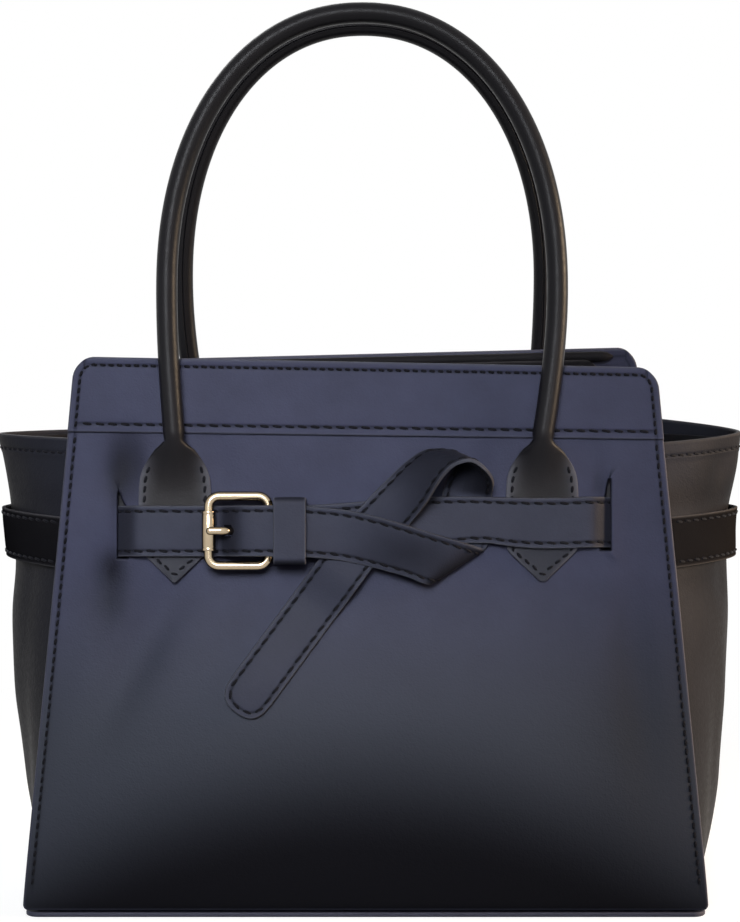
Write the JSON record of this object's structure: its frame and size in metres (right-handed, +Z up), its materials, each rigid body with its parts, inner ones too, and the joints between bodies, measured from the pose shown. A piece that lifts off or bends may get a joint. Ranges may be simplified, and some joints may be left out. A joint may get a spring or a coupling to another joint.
{
  "type": "handbag",
  "caption": "Structured winged handbag with rolled top handles and a buckled belt knotted across its front.",
  "frame": {"origin": "middle of the underside of the base panel, where the bag stands", "axes": "+Z up, +X to the right of the front, front with the belt and knot towards -Y"},
  "size_m": [0.3416, 0.15, 0.4021],
  "materials": {
    "leather": "smooth grain, soft sheen",
    "strap_leather": "smooth grain, stitched",
    "lining_cloth": "plain woven",
    "board": "pressed fibre board",
    "handle_cord": "twisted cord filler",
    "gilt_metal": "pale gold plate, polished",
    "snap_metal": "satin"
  },
  "bodies": {
    "bag": {"base_panel": "leather", "base_board": "board", "front_panel": "leather", "back_panel": "leather", "front_top_band": "leather", "back_top_band": "leather", "left_side": "leather", "right_side": "leather", "lining": "lining_cloth", "front_stiffener": "board", "back_stiffener": "board", "front_facing": "leather", "back_facing": "leather", "left_side_facing": "leather", "right_side_facing": "leather", "magnet_stud": "snap_metal", "magnet_socket": "snap_metal", "front_left_tab": "leather", "front_right_tab": "leather", "back_left_tab": "leather", "back_right_tab": "leather", "left_side_strap": "strap_leather", "right_side_strap": "strap_leather", "rear_strap": "strap_leather", "billet_strap": "strap_leather", "chape_strap": "strap_leather"},
    "front_handle": {"front_handle_sleeve": "leather", "front_handle_core": "handle_cord"},
    "back_handle": {"back_handle_sleeve": "leather", "back_handle_core": "handle_cord"},
    "buckle": {"buckle_frame": "gilt_metal"},
    "roller": {"buckle_roller": "gilt_metal"},
    "prong": {"buckle_prong": "gilt_metal"},
    "keeper": {"strap_keeper": "strap_leather"}
  },
  "joints": [
    {"name": "front_handle_swing", "type": "hinge", "parent": "bag", "child": "front_handle", "pos_m": [0, -0.05997, 0.21166], "axis": [1, 0, 0], "range_deg": [0, 150]},
    {"name": "back_handle_swing", "type": "hinge", "parent": "bag", "child": "back_handle", "pos_m": [0, 0.05997, 0.21166], "axis": [-1, 0, 0], "range_deg": [0, 150]},
    {"name": "buckle_tilt", "type": "hinge", "parent": "bag", "child": "buckle", "pos_m": [-0.0428, -0.06067, 0.16926], "axis": [0, 0.125, 0.9922], "range_deg": [0, 3]},
    {"name": "roller_spin", "type": "hinge", "parent": "buckle", "child": "roller", "pos_m": [-0.069, -0.06147, 0.16936], "axis": [0, 0.125, 0.9922], "continuous": true},
    {"name": "prong_tilt", "type": "hinge", "parent": "buckle", "child": "prong", "pos_m": [-0.0428, -0.06067, 0.16926], "axis": [0, 0.125, 0.9922], "range_deg": [0, 2]},
    {"name": "keeper_slide", "type": "slide", "parent": "bag", "child": "keeper", "axis": [1, 0, 0], "range_m": [0, 0.0025]}
  ]
}
